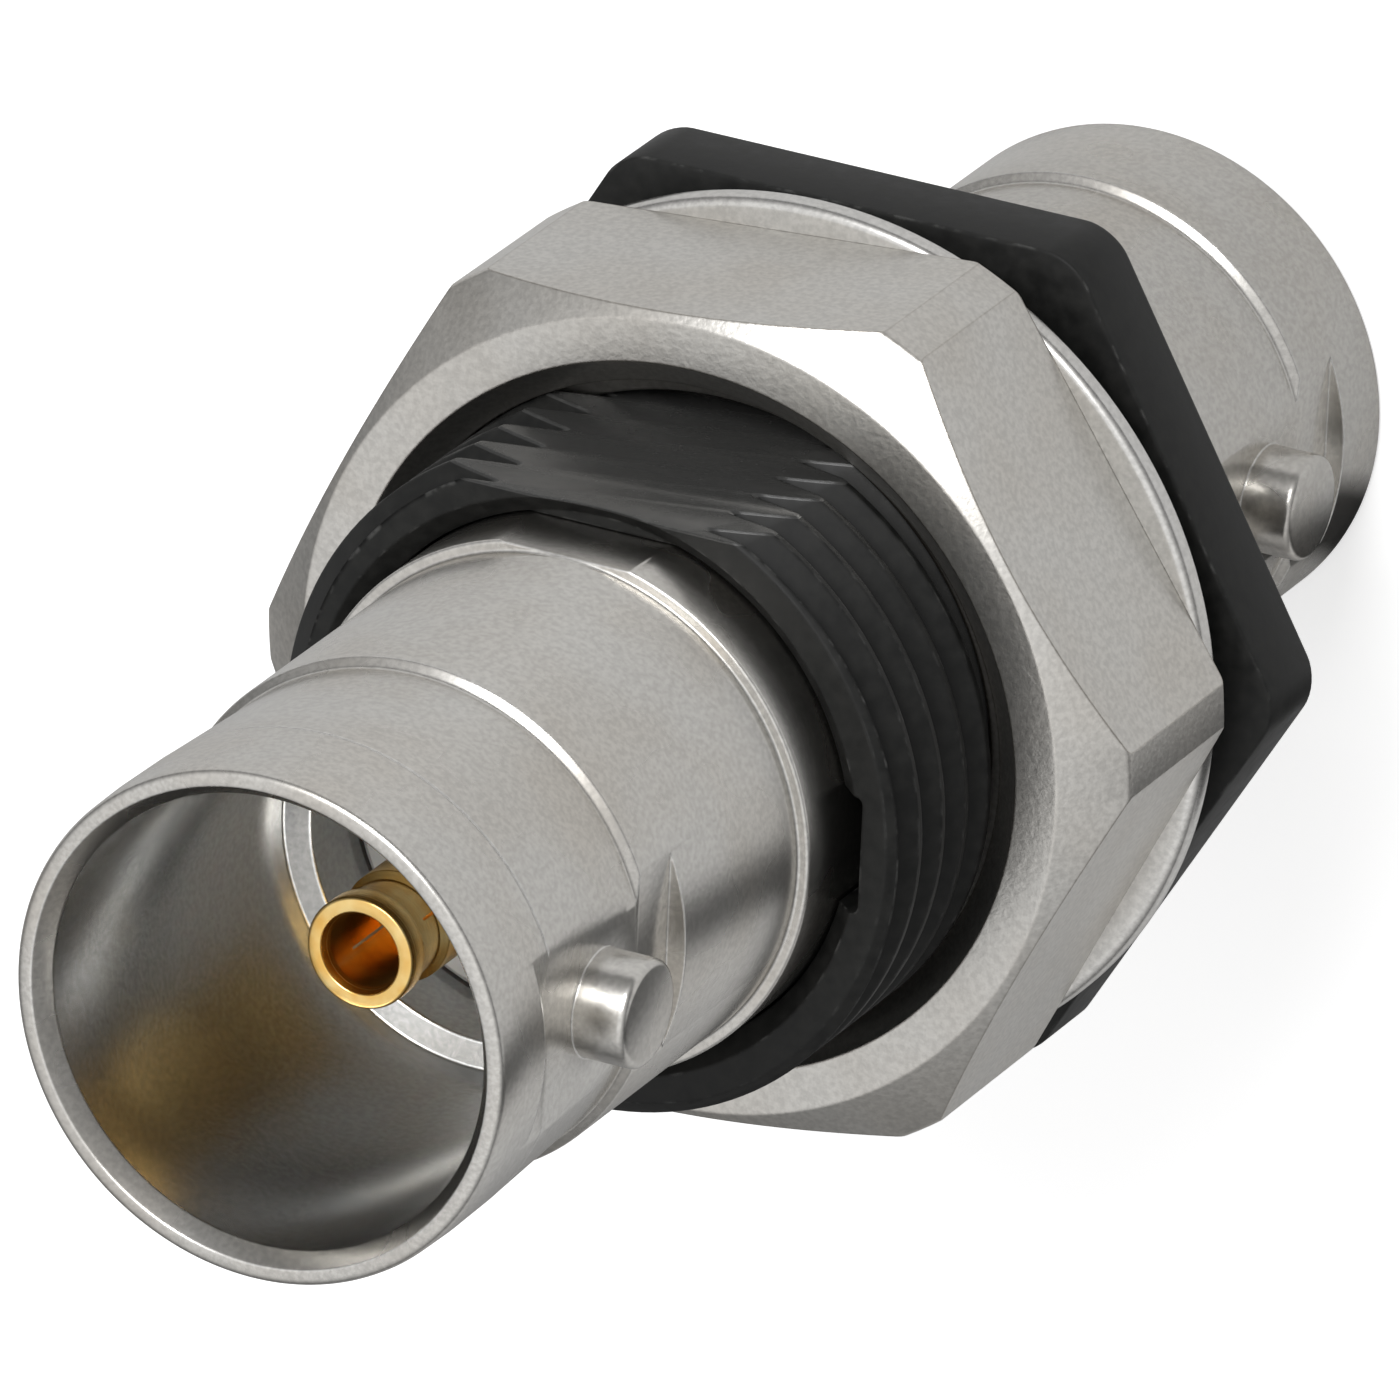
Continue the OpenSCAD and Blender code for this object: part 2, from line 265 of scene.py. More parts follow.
def block(name, low, high):
    """A plain block between two corners, used as a cutter."""
    bpy.ops.object.select_all(action="DESELECT")
    low, high = Vector(low), Vector(high)
    bpy.ops.mesh.primitive_cube_add(size=1.0, location=(low + high) / 2, scale=high - low)
    piece = bpy.context.active_object
    piece.name = name
    bpy.ops.object.transform_apply(location=True, rotation=True, scale=True)
    return piece


def apply_modifier(piece, modifier):
    select_only(piece)
    bpy.ops.object.modifier_apply(modifier=modifier.name)


def place(piece, turn, shift=(0.0, 0.0, 0.0)):
    """Turns and moves a finished mesh about the origin, and applies both."""
    select_only(piece)
    piece.rotation_euler = turn
    piece.location = shift
    bpy.ops.object.transform_apply(location=True, rotation=True, scale=True)


def combine(piece, tools, operation):
    """Adds, cuts or keeps what is common with each tool, and throws the tools away."""
    for tool in tools:
        modifier = piece.modifiers.new(operation.lower(), "BOOLEAN")
        modifier.operation = operation
        modifier.solver = "EXACT"
        modifier.object = tool
        apply_modifier(piece, modifier)
        bpy.data.objects.remove(tool)


def finish_piece(piece, body, material, nodes, smooth=35.0):
    """Brings a piece from millimetres to its real size, shades it and fixes it to its body."""
    select_only(piece)
    bpy.ops.object.mode_set(mode="EDIT")
    bpy.ops.mesh.select_all(action="SELECT")
    bpy.ops.mesh.remove_doubles(threshold=0.0005)
    bpy.ops.mesh.dissolve_degenerate(threshold=0.0005)
    bpy.ops.object.mode_set(mode="OBJECT")
    piece.scale = (MM, MM, MM)
    bpy.ops.object.transform_apply(location=True, rotation=True, scale=True)
    bpy.ops.object.shade_smooth_by_angle(angle=math.radians(smooth))
    piece.data.materials.clear()
    piece.data.materials.append(material)
    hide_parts(*nodes)
    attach(piece, body)
    return piece


# --- finish of the plated metal: a satin nickel skin over a fine cast grain, with the edges painted in
# their own tone, a painted highlight on most of the plate and painted shade on the nut, and faint brown
# tarnish in patches
def group_input(tree, name, kind, value):
    socket = tree.interface.new_socket(name, in_out="INPUT", socket_type=kind)
    socket.default_value = value
    return socket


def make_edge_scuff_and_light_group():
    """A mask of edges, for worn scuffs on plastic and for painted edge light on metal: where the normal of
    a rounded edge leaves the face's own normal.
    """
    tree = bpy.data.node_groups.new("edge_scuff_and_light", "ShaderNodeTree")
    group_input(tree, "Width", "NodeSocketFloat", 0.00006)
    group_input(tree, "Start", "NodeSocketFloat", 0.999)
    group_input(tree, "Full", "NodeSocketFloat", 0.93)
    tree.interface.new_socket("Mask", in_out="OUTPUT", socket_type="NodeSocketFloat")
    n, l = tree.nodes, tree.links
    source = n.new("NodeGroupInput")
    result = n.new("NodeGroupOutput")
    soft = n.new("ShaderNodeBevel")
    soft.samples = 4
    l.new(source.outputs["Width"], soft.inputs["Radius"])
    geometry = n.new("ShaderNodeNewGeometry")
    agree = n.new("ShaderNodeVectorMath")
    agree.operation = "DOT_PRODUCT"
    l.new(soft.outputs["Normal"], agree.inputs[0])
    l.new(geometry.outputs["Normal"], agree.inputs[1])
    mask = n.new("ShaderNodeMapRange")
    l.new(source.outputs["Start"], mask.inputs["From Min"])
    l.new(source.outputs["Full"], mask.inputs["From Max"])
    l.new(agree.outputs["Value"], mask.inputs["Value"])
    l.new(mask.outputs["Result"], result.inputs["Mask"])
    return tree


def make_satin_group():
    """Colour, roughness and height of satin plate: grain, cloudy tarnish and painted edge light."""
    tree = bpy.data.node_groups.new("satin_plate", "ShaderNodeTree")
    group_input(tree, "Colour", "NodeSocketColor", (0.66, 0.64, 0.61, 1.0))
    group_input(tree, "Tarnish", "NodeSocketColor", (0.50, 0.44, 0.36, 1.0))
    group_input(tree, "Tarnish Amount", "NodeSocketFloat", 0.2)
    group_input(tree, "Roughness", "NodeSocketFloat", 0.3)
    group_input(tree, "Roughness Spread", "NodeSocketFloat", 0.08)
    # painted edge light: a mask and a colour that the edges take in place of the plate's own
    group_input(tree, "Painted Edge Light", "NodeSocketFloat", 0.0)
    group_input(tree, "Painted Edge Colour", "NodeSocketColor", (0.86, 0.85, 0.83, 1.0))
    tree.interface.new_socket("Colour", in_out="OUTPUT", socket_type="NodeSocketColor")
    tree.interface.new_socket("Roughness", in_out="OUTPUT", socket_type="NodeSocketFloat")
    tree.interface.new_socket("Height", in_out="OUTPUT", socket_type="NodeSocketFloat")
    n, l = tree.nodes, tree.links
    source = n.new("NodeGroupInput")
    result = n.new("NodeGroupOutput")
    place = n.new("ShaderNodeTexCoord")
    # fine grain
    grain = n.new("ShaderNodeTexNoise")
    grain.inputs["Scale"].default_value = 9000.0
    grain.inputs["Detail"].default_value = 2.0
    l.new(place.outputs["Object"], grain.inputs["Vector"])
    # cloudy patches
    cloud = n.new("ShaderNodeTexNoise")
    cloud.inputs["Scale"].default_value = 420.0
    cloud.inputs["Detail"].default_value = 1.5
    l.new(place.outputs["Object"], cloud.inputs["Vector"])
    patch = n.new("ShaderNodeMapRange")
    patch.inputs["From Min"].default_value = 0.30
    patch.inputs["From Max"].default_value = 0.85
    patch.interpolation_type = "SMOOTHSTEP"
    l.new(cloud.outputs["Fac"], patch.inputs["Value"])
    amount = n.new("ShaderNodeMath")
    amount.operation = "MULTIPLY"
    l.new(patch.outputs["Result"], amount.inputs[0])
    l.new(source.outputs["Tarnish Amount"], amount.inputs[1])
    colour = n.new("ShaderNodeMix")
    colour.data_type = "RGBA"
    l.new(amount.outputs[0], colour.inputs["Factor"])
    l.new(source.outputs["Colour"], colour.inputs["A"])
    l.new(source.outputs["Tarnish"], colour.inputs["B"])
    # painted edge light: the edges take their own colour, lighter as a painted highlight or darker as
    # painted shade
    bright = n.new("ShaderNodeMix")
    bright.data_type = "RGBA"
    l.new(source.outputs["Painted Edge Colour"], bright.inputs["B"])
    l.new(source.outputs["Painted Edge Light"], bright.inputs["Factor"])
    l.new(colour.outputs["Result"], bright.inputs["A"])
    # the grain dusts the colour as well
    speckle = n.new("ShaderNodeMapRange")
    speckle.inputs["From Min"].default_value = 0.35
    speckle.inputs["From Max"].default_value = 0.65
    speckle.inputs["To Min"].default_value = 0.88
    speckle.inputs["To Max"].default_value = 1.04
    l.new(grain.outputs["Fac"], speckle.inputs["Value"])
    dusted = n.new("ShaderNodeVectorMath")
    dusted.operation = "SCALE"
    l.new(bright.outputs["Result"], dusted.inputs[0])
    l.new(speckle.outputs["Result"], dusted.inputs["Scale"])
    l.new(dusted.outputs["Vector"], result.inputs["Colour"])
    # roughness follows the cloud
    centred = n.new("ShaderNodeMath")
    centred.operation = "SUBTRACT"
    centred.inputs[1].default_value = 0.5
    l.new(cloud.outputs["Fac"], centred.inputs[0])
    spread = n.new("ShaderNodeMath")
    spread.operation = "MULTIPLY_ADD"
    l.new(centred.outputs[0], spread.inputs[0])
    l.new(source.outputs["Roughness Spread"], spread.inputs[1])
    l.new(source.outputs["Roughness"], spread.inputs[2])
    l.new(spread.outputs[0], result.inputs["Roughness"])
    l.new(grain.outputs["Fac"], result.inputs["Height"])
    return tree


edge_scuff_and_light_group = make_edge_scuff_and_light_group()
satin_group = make_satin_group()


def start_material(name):
    """A new material with its nodes, its links and its surface."""
    material = bpy.data.materials.new(name)
    material.use_nodes = True
    tree = material.node_tree
    return material, tree.nodes, tree.links, tree.nodes["Principled BSDF"]


def plated(name, colour, tarnish, tarnish_amount, roughness, grain_depth, edge_width=0.00006,
           painted_edge_colour=(0.86, 0.85, 0.83)):
    """Nickel plate: satin_plate feeds a metallic surface, whose edges catch the light as rounded and are
    also painted in their own edge colour as painted edge light.
    """
    material, n, l, surface = start_material(name)
    surface.inputs["Metallic"].default_value = 1.0
    satin = n.new("ShaderNodeGroup")
    satin.node_tree = satin_group
    satin.inputs["Colour"].default_value = (*colour, 1.0)
    satin.inputs["Tarnish"].default_value = (*tarnish, 1.0)
    satin.inputs["Tarnish Amount"].default_value = tarnish_amount
    satin.inputs["Roughness"].default_value = roughness
    edge_light = n.new("ShaderNodeGroup")
    edge_light.node_tree = edge_scuff_and_light_group
    edge_light.inputs["Width"].default_value = edge_width
    l.new(edge_light.outputs["Mask"], satin.inputs["Painted Edge Light"])
    satin.inputs["Painted Edge Colour"].default_value = (*painted_edge_colour, 1.0)
    l.new(satin.outputs["Colour"], surface.inputs["Base Color"])
    l.new(satin.outputs["Roughness"], surface.inputs["Roughness"])
    soft = n.new("ShaderNodeBevel")
    soft.samples = 6
    soft.inputs["Radius"].default_value = edge_width
    bump = n.new("ShaderNodeBump")
    bump.inputs["Strength"].default_value = 0.5
    bump.inputs["Distance"].default_value = grain_depth
    l.new(satin.outputs["Height"], bump.inputs["Height"])
    l.new(soft.outputs["Normal"], bump.inputs["Normal"])
    l.new(bump.outputs["Normal"], surface.inputs["Normal"])
    return material


NICKEL = (0.66, 0.645, 0.615)
TARNISH = (0.48, 0.40, 0.30)
# its edges take the pale default edge colour, a painted highlight
barrel_plate = plated("barrel_plate", NICKEL, TARNISH, 0.25, 0.27, 0.000002)

barrel = 11.1
land, neck, step, rim = 4.80, 4.68, 4.86, 5.08
front_rim = front_z - barrel
rear_rim = rear_z + barrel
front_step = front_z - 5.6
rear_step = rear_z + 2.91
step_half = 0.06
shoulder = 8.5
seat, inner = 4.06, 3.50
mouth_edge, socket_mouth = 4.50, 4.25
mouth_bevel = 0.35
land_len = 2.20
web_half, web_hole = 1.0, 2.4


def inside(mouth_z, way):
    """Inside of one barrel, from its mouth to the web in the middle."""
    web_z = middle_z + way * web_half
    return [(mouth_edge, mouth_z, 0.03),
            (socket_mouth, mouth_z - way * mouth_bevel, 0.04),
            (seat, mouth_z - way * shoulder, 0.05),
            (inner, mouth_z - way * shoulder, 0.06),
            (inner, web_z, 0.10),
            (web_hole, web_z, 0.10)]


outline = [(land, front_z, 0.13),
           (land + 0.02, front_z - 0.9, 0.0),
           (land, front_z - land_len + 0.03, 0.0),
           (land - 0.03, front_z - land_len, 0.0),
           (land - 0.005, front_z - land_len - 0.03, 0.0),
           (neck, front_step + 0.40, 0.0),
           (neck, front_step + step_half, 0.09),
           (step, front_step - step_half, 0.05),
           (step, front_rim, 0.05),
           (rim, front_rim, 0.06),
           (rim, rear_rim, 0.07),
           (neck, rear_rim, 0.10),
           (neck, rear_step + step_half, 0.09),
           (step, rear_step - step_half, 0.05),
           (step, rear_z, 0.13)]
outline += inside(rear_z, -1)
outline += reversed(inside(front_z, 1))
body = turned("body_of_connector", outline, steps=192)

# the four flat pads, then the flat along the shank
lug_at = 4.2
lug_r, lug_root = 1.0, 4.3
lug_front, lug_rear = front_z - lug_at, rear_z + lug_at
shank_flat = 4.90
pad = 4.48
pad_half = 2.6
for lug_z in (lug_front, lug_rear):
    for side in (-1, 1):
        near, far = sorted((side * pad, side * 7.0))
        combine(body, [block("pad", (near, -4, lug_z - pad_half), (far, 4, lug_z + pad_half))],
                "DIFFERENCE")
shank_cut = block("flat", (-6, shank_flat, rear_rim - 0.5), (6, 7, front_rim + 0.5))
combine(body, [shank_cut], "DIFFERENCE")

# the lugs, each turned with a rounded end
for lug_z in (lug_front, lug_rear):
    for side in (-1, 1):
        lug = turned("lug", [(0.0, lug_root, 0.0), (lug_r, lug_root, 0.0), (lug_r, lug_end, 0.14),
                             (0.0, lug_end, 0.0)], steps=64, closed=False)
        place(lug, turn=(0.0, side * math.pi / 2, 0.0), shift=(0.0, 0.0, lug_z))
        combine(body, [lug], "UNION")
finish_piece(body, "coupler", barrel_plate, ["connector_body"])

# the skin is darker and duller down the bore, painted shade in the recess, and bright
# on the faced shoulder
# painted shade: the bore's faces take a darker base colour than the outside plate
bore_shade_plate = plated("bore_shade_plate", (0.45, 0.455, 0.455), (0.42, 0.30, 0.14), 0.22, 0.24, 0.000003)
seat_plate = plated("seat_plate", (0.93, 0.93, 0.92), TARNISH, 0.0, 0.20, 0.000001)
body.data.materials.append(bore_shade_plate)
body.data.materials.append(seat_plate)
for face in body.data.polygons:
    reach = Vector(face.center[:2]).length
    if reach < (socket_mouth - 0.01) * MM and abs(face.normal.z) < 0.5:
        face.material_index = 1
    elif (inner - 0.06) * MM < reach < (seat + 0.05) * MM:
        face.material_index = 2


# ---------------------------------------------------------------- moulded housing
# One black glass-filled moulding: a hexagonal flange with rounded corners, and a sleeve with a
# single-start right-hand thread. A flat along the sleeve keys it in the panel. Two slots in
# its bore let the lugs through when the metal body is pushed in.
flange_af = (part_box("insulating_housing")[1].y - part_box("insulating_housing")[0].y) / MM
flange_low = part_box("insulating_housing")[0].z / MM
sleeve_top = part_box("insulating_housing")[1].z / MM
pitch = 0.907
crest, root = 6.25, 5.77
crest_w = 0.12
sleeve_flat = 5.4
key_flat = 4.92
bore_r = rim + 0.05
bore_bevel = 0.37
slot_reach, slot_half = 5.55, 1.13
scuff_width = 0.08 * MM


def threaded_rod(name, crest_r, root_r, crest_flat, low, high, steps=144):
    """A solid rod with a right-hand thread, cut square at both ends."""
    flank = (pitch - crest_flat) / 2 - 0.08
    start = math.floor(low / pitch) * pitch - 2 * pitch
    turns = math.ceil((high - start) / pitch) + 2
    rod = start_mesh(name)
    draw_line([(root_r, start), (root_r, start + 0.08), (root_r + 0.03, start + 0.12),
               (crest_r - 0.03, start + 0.04 + flank), (crest_r, start + 0.08 + flank),
               (crest_r, start + 0.08 + flank + crest_flat),
               (crest_r - 0.03, start + 0.12 + flank + crest_flat),
               (root_r + 0.03, start + pitch - 0.04), (root_r, start + pitch)])
    bpy.ops.object.mode_set(mode="OBJECT")
    wind = rod.modifiers.new("wind", "SCREW")
    wind.axis = "Z"
    wind.angle = 2 * math.pi
    wind.screw_offset = pitch
    wind.iterations = turns
    wind.steps = wind.render_steps = steps
    wind.use_merge_vertices = False
    apply_modifier(rod, wind)
    bpy.ops.object.mode_set(mode="EDIT")
    bpy.ops.mesh.select_all(action="SELECT")
    bpy.ops.mesh.remove_doubles(threshold=0.001)
    for height, way in ((low, -1), (high, 1)):
        bpy.ops.mesh.select_all(action="SELECT")
        bpy.ops.mesh.bisect(plane_co=(0, 0, height), plane_no=(0, 0, way),
                            use_fill=True, clear_outer=True)
    bpy.ops.mesh.select_all(action="SELECT")
    bpy.ops.mesh.normals_make_consistent(inside=False)
    bpy.ops.object.mode_set(mode="OBJECT")
    return rod


def hex_blank(name, across_flats, low, high, turn=0.0):
    """A hexagonal prism with one corner at the given angle from the X axis."""
    bpy.ops.object.select_all(action="DESELECT")
    bpy.ops.mesh.primitive_cylinder_add(
        vertices=6, radius=across_flats / math.sqrt(3), depth=high - low,
        location=(0, 0, (low + high) / 2))
    blank = bpy.context.active_object
    blank.name = name
    bpy.ops.object.transform_apply(location=True, rotation=True, scale=True)
    place(blank, turn=(0.0, 0.0, math.radians(30.0 + turn)))
    return blank


def bevel_edges(piece, keep, offset, segments):
    """Rounds the edges whose two ends pass the test."""
    select_only(piece)
    bpy.ops.object.mode_set(mode="EDIT")
    bpy.ops.mesh.select_mode(type="EDGE")
    bpy.ops.mesh.select_all(action="DESELECT")
    bpy.ops.object.mode_set(mode="OBJECT")
    for edge in piece.data.edges:
        a, b = (piece.data.vertices[v].co for v in edge.vertices)
        edge.select = keep(a, b)
    bpy.ops.object.mode_set(mode="EDIT")
    bpy.ops.mesh.bevel(offset=offset, segments=segments, profile=0.5, affect="EDGES")
    bpy.ops.mesh.select_mode(type="VERT")
    bpy.ops.object.mode_set(mode="OBJECT")


housing = hex_blank("moulded_housing", flange_af, flange_low, 0.0)
bevel_edges(housing, lambda a, b: abs(a.z - b.z) > 0.5, math.tan(math.radians(30)), 8)
bevel_edges(housing, lambda a, b: abs(a.z - b.z) < 0.01 and abs(a.z) < 0.01, 0.06, 2)
bevel_edges(housing, lambda a, b: abs(a.z - b.z) < 0.01 and a.z < flange_low + 0.01, 0.10, 3)

sleeve = threaded_rod("sleeve", crest, root, crest_w, flange_low * 0.5, sleeve_top)
lead_in = turned("lead_in", [(0.0, flange_low, 0.0), (crest + 0.5, flange_low, 0.0),
                             (crest + 0.5, sleeve_top - 0.55, 0.0), (crest - 0.08, sleeve_top - 0.12, 0.05),
                             (crest - 0.20, sleeve_top, 0.05), (0.0, sleeve_top, 0.0)],
                 steps=144, closed=False)
combine(sleeve, [lead_in], "INTERSECT")
relief = turned("relief", [(root, 0.0, 0.0), (crest + 1.0, 0.0, 0.0), (crest + 1.0, 0.40, 0.0),
                           (root, 0.40, 0.1)], steps=144)
combine(sleeve, [relief], "DIFFERENCE")
combine(housing, [sleeve], "UNION")

bore = turned("bore", [(0.0, flange_low - 1.0, 0.0), (bore_r, flange_low - 1.0, 0.0),
                       (bore_r, sleeve_top - bore_bevel, 0.06),
                       (bore_r + bore_bevel, sleeve_top, 0.0),
                       (bore_r + bore_bevel + 1.0, sleeve_top + 1.0, 0.0),
                       (0.0, sleeve_top + 1.0, 0.0)],
              steps=144, closed=False)
key = block("key", (-6, key_flat, flange_low - 2), (6, 7, sleeve_top - bore_bevel))
combine(bore, [key], "DIFFERENCE")
slots = block("slots", (-slot_reach, -slot_half, flange_low - 1),
              (slot_reach, slot_half, sleeve_top + 1))
bevel_edges(slots, lambda a, b: abs(a.z - b.z) > 0.5, 0.15, 3)
flat_cut = block("flat", (-8, sleeve_flat, 0.0), (8, 8, sleeve_top + 1))
combine(housing, [bore, slots, flat_cut], "DIFFERENCE")


def moulded_black(name, flat_y):
    """Black moulded plastic: matt and mottled by its filler, smoother and paler on the sleeve's flat, the
    paler tone partly the flat's own face and partly a painted sheen, with pale scuffs on the edges. The
    flat lies above flat_y, in metres."""
    material, n, l, surface = start_material(name)
    place = n.new("ShaderNodeTexCoord")
    mottle = n.new("ShaderNodeTexNoise")
    mottle.inputs["Scale"].default_value = 3200.0
    mottle.inputs["Detail"].default_value = 5.0
    l.new(place.outputs["Object"], mottle.inputs["Vector"])
    # the flat, as a mask: its height along Y, on the sleeve above the flange
    split = n.new("ShaderNodeSeparateXYZ")
    l.new(place.outputs["Object"], split.inputs["Vector"])
    high = n.new("ShaderNodeMath")
    high.operation = "COMPARE"
    high.inputs[1].default_value = flat_y
    high.inputs[2].default_value = 0.00004
    l.new(split.outputs["Y"], high.inputs[0])
    on_sleeve = n.new("ShaderNodeMath")
    on_sleeve.operation = "GREATER_THAN"
    on_sleeve.inputs[1].default_value = 0.0002
    l.new(split.outputs["Z"], on_sleeve.inputs[0])
    on_flat = n.new("ShaderNodeMath")
    on_flat.operation = "MULTIPLY"
    l.new(high.outputs[0], on_flat.inputs[0])
    l.new(on_sleeve.outputs[0], on_flat.inputs[1])
    tone = n.new("ShaderNodeValToRGB")
    tone.color_ramp.elements[0].position = 0.35
    tone.color_ramp.elements[0].color = (0.0038, 0.0040, 0.0037, 1.0)
    tone.color_ramp.elements[1].position = 0.75
    tone.color_ramp.elements[1].color = (0.013, 0.013, 0.012, 1.0)
    l.new(mottle.outputs["Fac"], tone.inputs["Fac"])
    # the flat is paler: partly its own paler face, partly a painted sheen of the bright nut face that it
    # mirrors
    flat_tone_and_sheen = n.new("ShaderNodeMix")
    flat_tone_and_sheen.data_type = "RGBA"
    flat_tone_and_sheen.inputs["B"].default_value = (0.040, 0.040, 0.039, 1.0)
    l.new(on_flat.outputs[0], flat_tone_and_sheen.inputs["Factor"])
    l.new(tone.outputs["Color"], flat_tone_and_sheen.inputs["A"])
    # pale scuffs along the edges, broken up by a coarse noise
    soft = n.new("ShaderNodeBevel")
    soft.samples = 4
    soft.inputs["Radius"].default_value = scuff_width
    edge = n.new("ShaderNodeGroup")
    edge.node_tree = edge_scuff_and_light_group
    edge.inputs["Width"].default_value = scuff_width
    edge.inputs["Start"].default_value = 0.99
    edge.inputs["Full"].default_value = 0.88
    broken = n.new("ShaderNodeTexNoise")
    broken.inputs["Scale"].default_value = 2600.0
    broken.inputs["Detail"].default_value = 2.0
    l.new(place.outputs["Object"], broken.inputs["Vector"])
    patch = n.new("ShaderNodeMapRange")
    patch.inputs["From Min"].default_value = 0.52
    patch.inputs["From Max"].default_value = 0.66
    l.new(broken.outputs["Fac"], patch.inputs["Value"])
    scuff = n.new("ShaderNodeMath")
    scuff.operation = "MULTIPLY"
    l.new(edge.outputs["Mask"], scuff.inputs[0])
    l.new(patch.outputs["Result"], scuff.inputs[1])
    worn = n.new("ShaderNodeMix")
    worn.data_type = "RGBA"
    worn.inputs["B"].default_value = (0.10, 0.10, 0.097, 1.0)
    l.new(scuff.outputs[0], worn.inputs["Factor"])
    l.new(flat_tone_and_sheen.outputs["Result"], worn.inputs["A"])
    l.new(worn.outputs["Result"], surface.inputs["Base Color"])
    rough = n.new("ShaderNodeMapRange")
    rough.inputs["To Min"].default_value = 0.40
    rough.inputs["To Max"].default_value = 0.62
    l.new(mottle.outputs["Fac"], rough.inputs["Value"])
    polish = n.new("ShaderNodeMath")
    polish.operation = "MULTIPLY_ADD"
    polish.inputs[1].default_value = -0.27
    l.new(on_flat.outputs[0], polish.inputs[0])
    l.new(rough.outputs["Result"], polish.inputs[2])
    l.new(polish.outputs[0], surface.inputs["Roughness"])
    surface.inputs["Specular IOR Level"].default_value = 0.32
    bump = n.new("ShaderNodeBump")
    bump.inputs["Strength"].default_value = 0.6
    bump.inputs["Distance"].default_value = 0.000008
    l.new(mottle.outputs["Fac"], bump.inputs["Height"])
    l.new(soft.outputs["Normal"], bump.inputs["Normal"])
    l.new(bump.outputs["Normal"], surface.inputs["Normal"])
    return material


black_moulding = moulded_black("black_moulding", sleeve_flat * MM)
finish_piece(housing, "coupler", black_moulding, ["insulating_housing"])


# ---------------------------------------------------------------- nut
# Cut from hexagonal bar and plated: the corners are turned down and bevelled towards the
# front, both ends of the bore are countersunk, and the bore holds the sleeve's thread.
nut_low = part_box("hex_nut")[0].z / MM
nut_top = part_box("hex_nut")[1].z / MM
nut_af = 15.5
nut_turn = 4.3
nut_corner = nut_af / math.sqrt(3) - 0.23
nut_face = nut_af / 2 - 0.15
nut = hex_blank("plated_nut", nut_af, nut_low, nut_top, nut_turn)
blank = turned("blank", [(0.0, nut_low, 0.0), (nut_corner, nut_low, 0.08),
                         (nut_corner, nut_top - 0.75, 0.15), (nut_face, nut_top, 0.08),
                         (0.0, nut_top, 0.0)], steps=192, closed=False)
combine(nut, [blank], "INTERSECT")
tap = threaded_rod("tap", crest + 0.06, root + 0.10, 0.18, nut_low - 1.0, nut_top + 1.0)
sinks = [turned("sink", [(0.0, nut_top - 0.60, 0.0), (6.18, nut_top - 0.60, 0.0), (6.78, nut_top, 0.0),
                         (7.78, nut_top + 1.0, 0.0), (0.0, nut_top + 1.0, 0.0)], 192, False),
         turned("sink", [(0.0, nut_low - 1.0, 0.0), (7.78, nut_low - 1.0, 0.0), (6.78, nut_low, 0.0),
                         (6.18, nut_low + 0.60, 0.0), (0.0, nut_low + 0.60, 0.0)], 192, False)]
combine(nut, [tap] + sinks, "DIFFERENCE")
# its edges are painted dark brown: painted shade along the nut's edges and where it meets the washer
nut_plate = plated("nut_plate", NICKEL, TARNISH, 0.18, 0.34, 0.000010, 0.00006, (0.34, 0.31, 0.27))
finish_piece(nut, "nut", nut_plate, ["hex_nut"], smooth=20.0)


# ---------------------------------------------------------------- washer
# Stamped from plated sheet: the punch rounds the front edge and leaves the back one sharp.
# It lies loose behind the nut, a hair clear of it and of the flange.
washer_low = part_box("washer")[0].z / MM
washer_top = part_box("washer")[1].z / MM
washer_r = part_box("washer")[1].x / MM
washer_clear = 0.004
under, over = washer_low + washer_clear, washer_top - washer_clear
washer = turned("plated_washer", [(6.40, under, 0.03), (washer_r, under, 0.03),
                                  (washer_r, over, 0.20), (6.40, over, 0.05)], steps=192)
# its edges take the pale default edge colour, a painted highlight
washer_plate = plated("washer_plate", (0.70, 0.69, 0.67), TARNISH, 0.10, 0.24, 0.000003)
finish_piece(washer, "washer", washer_plate, ["washer"])


# ---------------------------------------------------------------- centre contact
# Turned from springy bronze and gold plated, the same at both ends: a ring at the tip, a
# groove behind it, and a bore for the plug's pin that a saw cut parts into two fingers.
tip_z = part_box("centre_contact")[1].z / MM
tail_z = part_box("centre_contact")[0].z / MM
contact_r = 1.05
slit_start, slit_end = 0.90, 4.6
slit_half = 0.025
slit_turn = 33.0


def contact_end(end_z, way):
    """One end of the contact, from the collar out to the bottom of the pin's bore."""
    return [(contact_r, middle_z + way * 0.5, 0.05),
            (contact_r, end_z - way * 1.40, 0.04),
            (0.92, end_z - way * 1.27, 0.05),
            (0.92, end_z - way * 0.55, 0.05),
            (contact_r, end_z - way * 0.48, 0.04),
            (contact_r, end_z, 0.07),
            (0.78, end_z, 0.04),
            (0.70, end_z - way * 0.25, 0.05),
            (0.70, end_z - way * 5.0, 0.0),
            (0.0, end_z - way * 5.4, 0.0)]


contact_outline = list(reversed(contact_end(tail_z, -1)))
contact_outline += [(1.6, middle_z - 0.5, 0.05), (1.6, middle_z + 0.5, 0.05)]
contact_outline += contact_end(tip_z, 1)
contact = turned("gold_contact", contact_outline, steps=96, closed=False)
for end_z, way in ((tip_z, 1), (tail_z, -1)):
    low, high = sorted((end_z - way * slit_end, end_z - way * slit_start))
    slit = block("slit", (-2, -slit_half, low), (2, slit_half, high))
    place(slit, turn=(0.0, 0.0, math.radians(slit_turn)))
    combine(contact, [slit], "DIFFERENCE")


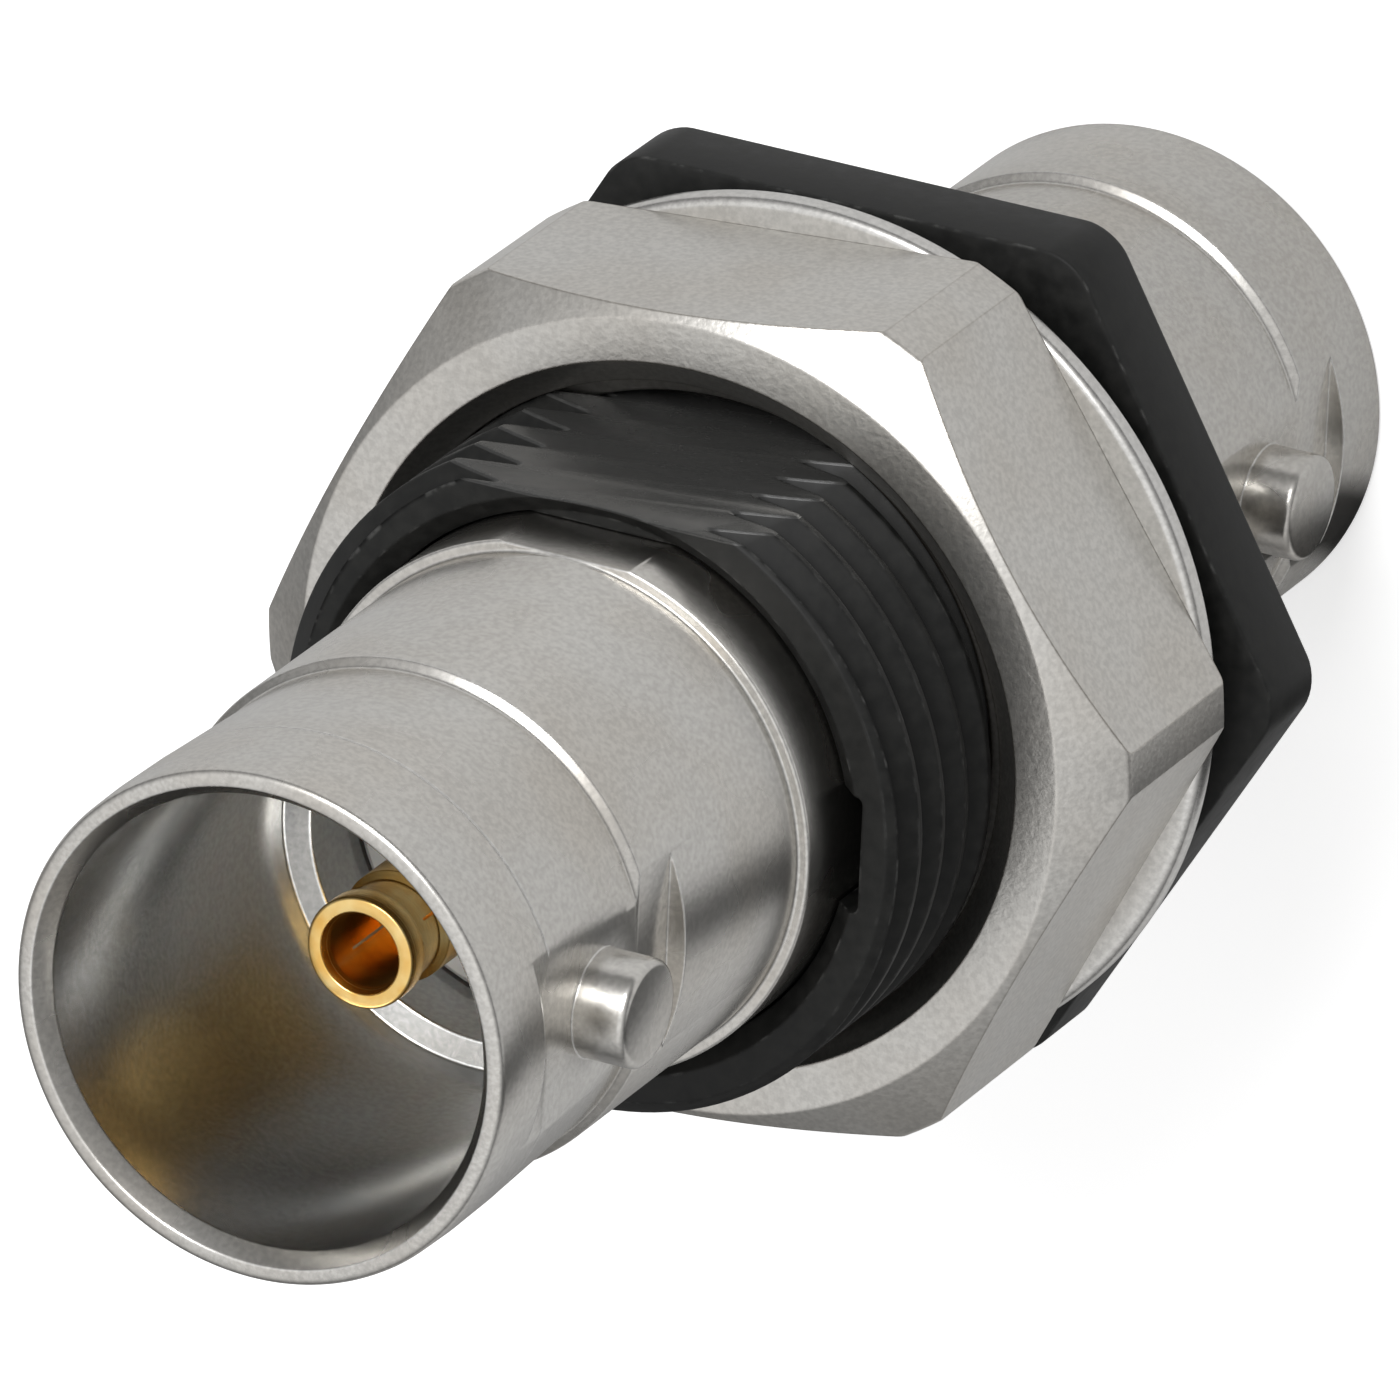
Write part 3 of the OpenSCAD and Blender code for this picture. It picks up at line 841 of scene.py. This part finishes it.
def gold_plate(name):
    """Soft bright gold over fine turning marks, deeper and redder in cloudy patches."""
    material, n, l, surface = start_material(name)
    surface.inputs["Metallic"].default_value = 1.0
    place = n.new("ShaderNodeTexCoord")
    split = n.new("ShaderNodeSeparateXYZ")
    l.new(place.outputs["Object"], split.inputs["Vector"])
    cloud = n.new("ShaderNodeTexNoise")
    cloud.inputs["Scale"].default_value = 1800.0
    l.new(place.outputs["Object"], cloud.inputs["Vector"])
    tone = n.new("ShaderNodeValToRGB")
    tone.color_ramp.elements[0].position = 0.35
    tone.color_ramp.elements[0].color = (0.90, 0.54, 0.15, 1.0)
    tone.color_ramp.elements[1].position = 0.65
    tone.color_ramp.elements[1].color = (1.00, 0.74, 0.32, 1.0)
    l.new(cloud.outputs["Fac"], tone.inputs["Fac"])
    l.new(tone.outputs["Color"], surface.inputs["Base Color"])
    rings = n.new("ShaderNodeTexNoise")
    rings.noise_dimensions = "1D"
    rings.inputs["Scale"].default_value = 22000.0
    l.new(split.outputs["Z"], rings.inputs["W"])
    rough = n.new("ShaderNodeMapRange")
    rough.inputs["To Min"].default_value = 0.16
    rough.inputs["To Max"].default_value = 0.30
    l.new(rings.outputs["Fac"], rough.inputs["Value"])
    l.new(rough.outputs["Result"], surface.inputs["Roughness"])
    bump = n.new("ShaderNodeBump")
    bump.inputs["Strength"].default_value = 0.4
    bump.inputs["Distance"].default_value = 0.000004
    l.new(rings.outputs["Fac"], bump.inputs["Height"])
    l.new(bump.outputs["Normal"], surface.inputs["Normal"])
    return material


finish_piece(contact, "coupler", gold_plate("gold_plate"), ["centre_contact"])


# ---------------------------------------------------------------- insulators
# Two turned beads of white fluoroplastic, pressed in from each end. They keep their modelled
# shape and get a waxy white skin, mottled in tone and roughness.
def waxy_white(name):
    material, n, l, surface = start_material(name)
    surface.inputs["Subsurface Weight"].default_value = 0.15
    surface.inputs["Subsurface Scale"].default_value = 0.0005
    place = n.new("ShaderNodeTexCoord")
    cloud = n.new("ShaderNodeTexNoise")
    cloud.inputs["Scale"].default_value = 900.0
    l.new(place.outputs["Object"], cloud.inputs["Vector"])
    tone = n.new("ShaderNodeValToRGB")
    tone.color_ramp.elements[0].color = (0.74, 0.73, 0.70, 1.0)
    tone.color_ramp.elements[1].color = (0.88, 0.88, 0.86, 1.0)
    l.new(cloud.outputs["Fac"], tone.inputs["Fac"])
    l.new(tone.outputs["Color"], surface.inputs["Base Color"])
    rough = n.new("ShaderNodeMapRange")
    rough.inputs["To Min"].default_value = 0.35
    rough.inputs["To Max"].default_value = 0.55
    l.new(cloud.outputs["Fac"], rough.inputs["Value"])
    l.new(rough.outputs["Result"], surface.inputs["Roughness"])
    return material


bead_white = waxy_white("bead_white")
for bead in ("front_insulator", "rear_insulator"):
    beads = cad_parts[bead]
    beads.data.materials.clear()
    beads.data.materials.append(bead_white)


low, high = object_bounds()
{"cad": [list(cad_low), list(cad_high)], "visual": [list(low), list(high)]}
